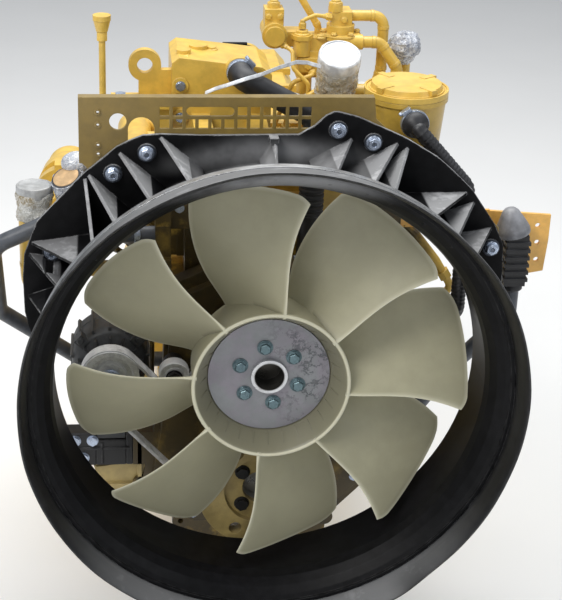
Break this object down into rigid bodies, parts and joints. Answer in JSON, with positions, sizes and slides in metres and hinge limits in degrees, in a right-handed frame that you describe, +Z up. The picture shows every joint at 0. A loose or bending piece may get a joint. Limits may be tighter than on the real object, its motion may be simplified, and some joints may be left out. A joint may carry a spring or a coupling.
{
  "type": "diesel engine",
  "caption": "Inline industrial diesel engine with a moulded axial fan in a ribbed ring shroud, belt drive, perforated front guard and flywheel housing.",
  "frame": {"origin": "crank axis at the rear face of the flywheel housing", "axes": "+Y towards the driven machine (the fan end faces -Y), +Z up, +X to the right as seen from the fan end"},
  "size_m": [0.9428, 1.103, 1.129],
  "materials": {
    "alloy_dark": "dark cast alloy",
    "cap_white": "white plastic",
    "nylon_natural": "natural nylon, greenish beige",
    "paint_black": "black paint",
    "paint_white": "white enamel",
    "paint_yellow": "yellow enamel, satin",
    "plastic_black": "dusty black moulding",
    "rubber_black": "black rubber",
    "steel_bright": "machined steel",
    "steel_disc": "stained grey-blue steel",
    "zinc": "zinc plated"
  },
  "bodies": {
    "engine": {"engine_block": "paint_yellow", "block_plugs": "steel_bright", "oil_pan": "paint_yellow", "gear_housing": "paint_yellow", "front_cover": "paint_yellow", "engine_bolts": "zinc", "flywheel_housing": "paint_yellow", "cylinder_head": "paint_yellow", "valve_cover": "paint_yellow", "coolant_tower": "paint_yellow", "water_pump": "paint_yellow", "coolant_hose": "rubber_black", "fan_bearing": "paint_yellow", "fan_shroud": "plastic_black", "shroud_seal": "rubber_black", "seal_band": "steel_bright", "shroud_bolts": "zinc", "front_guard": "paint_yellow", "guard_arms": "paint_black", "alternator": "alloy_dark", "tensioner_body": "paint_black", "drive_belt": "rubber_black", "breather_canister": "paint_yellow", "breather_hose": "rubber_black", "lifting_eyes": "paint_yellow", "dipstick_tube": "paint_yellow", "exhaust_manifold": "paint_yellow", "turbocharger": "paint_yellow", "intake_manifold": "paint_yellow", "intake_pipe": "paint_yellow", "port_caps": "cap_white", "air_pipe": "paint_yellow", "fuel_head": "paint_yellow", "fuel_filter": "paint_white", "fuel_pump": "paint_yellow", "fuel_lines": "steel_bright", "oil_filter": "paint_white", "starter_motor": "paint_black", "side_bracket": "paint_yellow", "side_hoses": "rubber_black"},
    "crank": {"crankshaft": "steel_bright", "crank_pulley": "steel_bright", "crank_damper": "paint_yellow", "crank_bolts": "zinc", "flywheel": "steel_bright"},
    "fan_rotor": {"fan_shaft": "steel_bright", "fan_pulley": "steel_bright", "fan_spacer": "steel_bright", "fan": "nylon_natural", "fan_clamp_disc": "steel_disc", "fan_bolts": "zinc"},
    "alternator_rotor": {"alternator_pulley": "steel_bright"},
    "idler": {"idler_pulley": "steel_bright"},
    "tensioner_lever": {"tensioner_arm": "steel_bright"},
    "tensioner_roller": {"tensioner_pulley": "plastic_black"},
    "breather_cap": {"breather_lid": "paint_yellow"},
    "filler_cap": {"oil_filler_cap": "plastic_black"},
    "dipstick": {"dipstick": "paint_yellow"},
    "priming_plunger": {"priming_knob": "paint_yellow"},
    "turbo_shaft": {"turbo_rotor": "steel_bright"}
  },
  "joints": [
    {"name": "crank_spin", "type": "hinge", "parent": "engine", "child": "crank", "pos_m": [0, -0.86, 0], "axis": [0, 1, 0], "continuous": true},
    {"name": "fan_spin", "type": "hinge", "parent": "engine", "child": "fan_rotor", "pos_m": [0, -0.86, 0.255], "axis": [0, 1, 0], "continuous": true},
    {"name": "alternator_spin", "type": "hinge", "parent": "engine", "child": "alternator_rotor", "pos_m": [-0.252, -0.86, 0.206], "axis": [0, 1, 0], "continuous": true},
    {"name": "idler_spin", "type": "hinge", "parent": "engine", "child": "idler", "pos_m": [-0.147, -0.86, 0.204], "axis": [0, 1, 0], "continuous": true},
    {"name": "tensioner_swing", "type": "hinge", "parent": "engine", "child": "tensioner_lever", "pos_m": [0.158, -0.86, 0.074], "axis": [0, 1, 0], "range_deg": [0, 18], "stiffness_Nm_per_rad": 12, "springref_deg": -22.92},
    {"name": "tensioner_spin", "type": "hinge", "parent": "tensioner_lever", "child": "tensioner_roller", "pos_m": [0.104, -0.86, 0.125], "axis": [0, 1, 0], "continuous": true},
    {"name": "breather_lid_twist", "type": "hinge", "parent": "engine", "child": "breather_cap", "pos_m": [0.226, -0.79, 0.67], "axis": [0, 0, 1], "range_deg": [0, 60]},
    {"name": "filler_cap_twist", "type": "hinge", "parent": "engine", "child": "filler_cap", "pos_m": [0, -0.18, 0.55], "axis": [0, 0, 1], "range_deg": [0, 90]},
    {"name": "dipstick_pull", "type": "slide", "parent": "engine", "child": "dipstick", "axis": [0, 0, 1], "range_m": [0, 0.18]},
    {"name": "priming_push", "type": "slide", "parent": "engine", "child": "priming_plunger", "axis": [0, -1, 0], "range_m": [0, 0.018]},
    {"name": "turbo_spin", "type": "hinge", "parent": "engine", "child": "turbo_shaft", "pos_m": [-0.322, -0.4, 0.372], "axis": [0, 1, 0], "continuous": true}
  ],
  "couplings": [
    {"joint": "fan_spin", "follows": "crank_spin", "ratio": 1.25},
    {"joint": "alternator_spin", "follows": "crank_spin", "ratio": 2.0213},
    {"joint": "idler_spin", "follows": "crank_spin", "ratio": -3.3333},
    {"joint": "tensioner_spin", "follows": "crank_spin", "ratio": -2.4675}
  ]
}
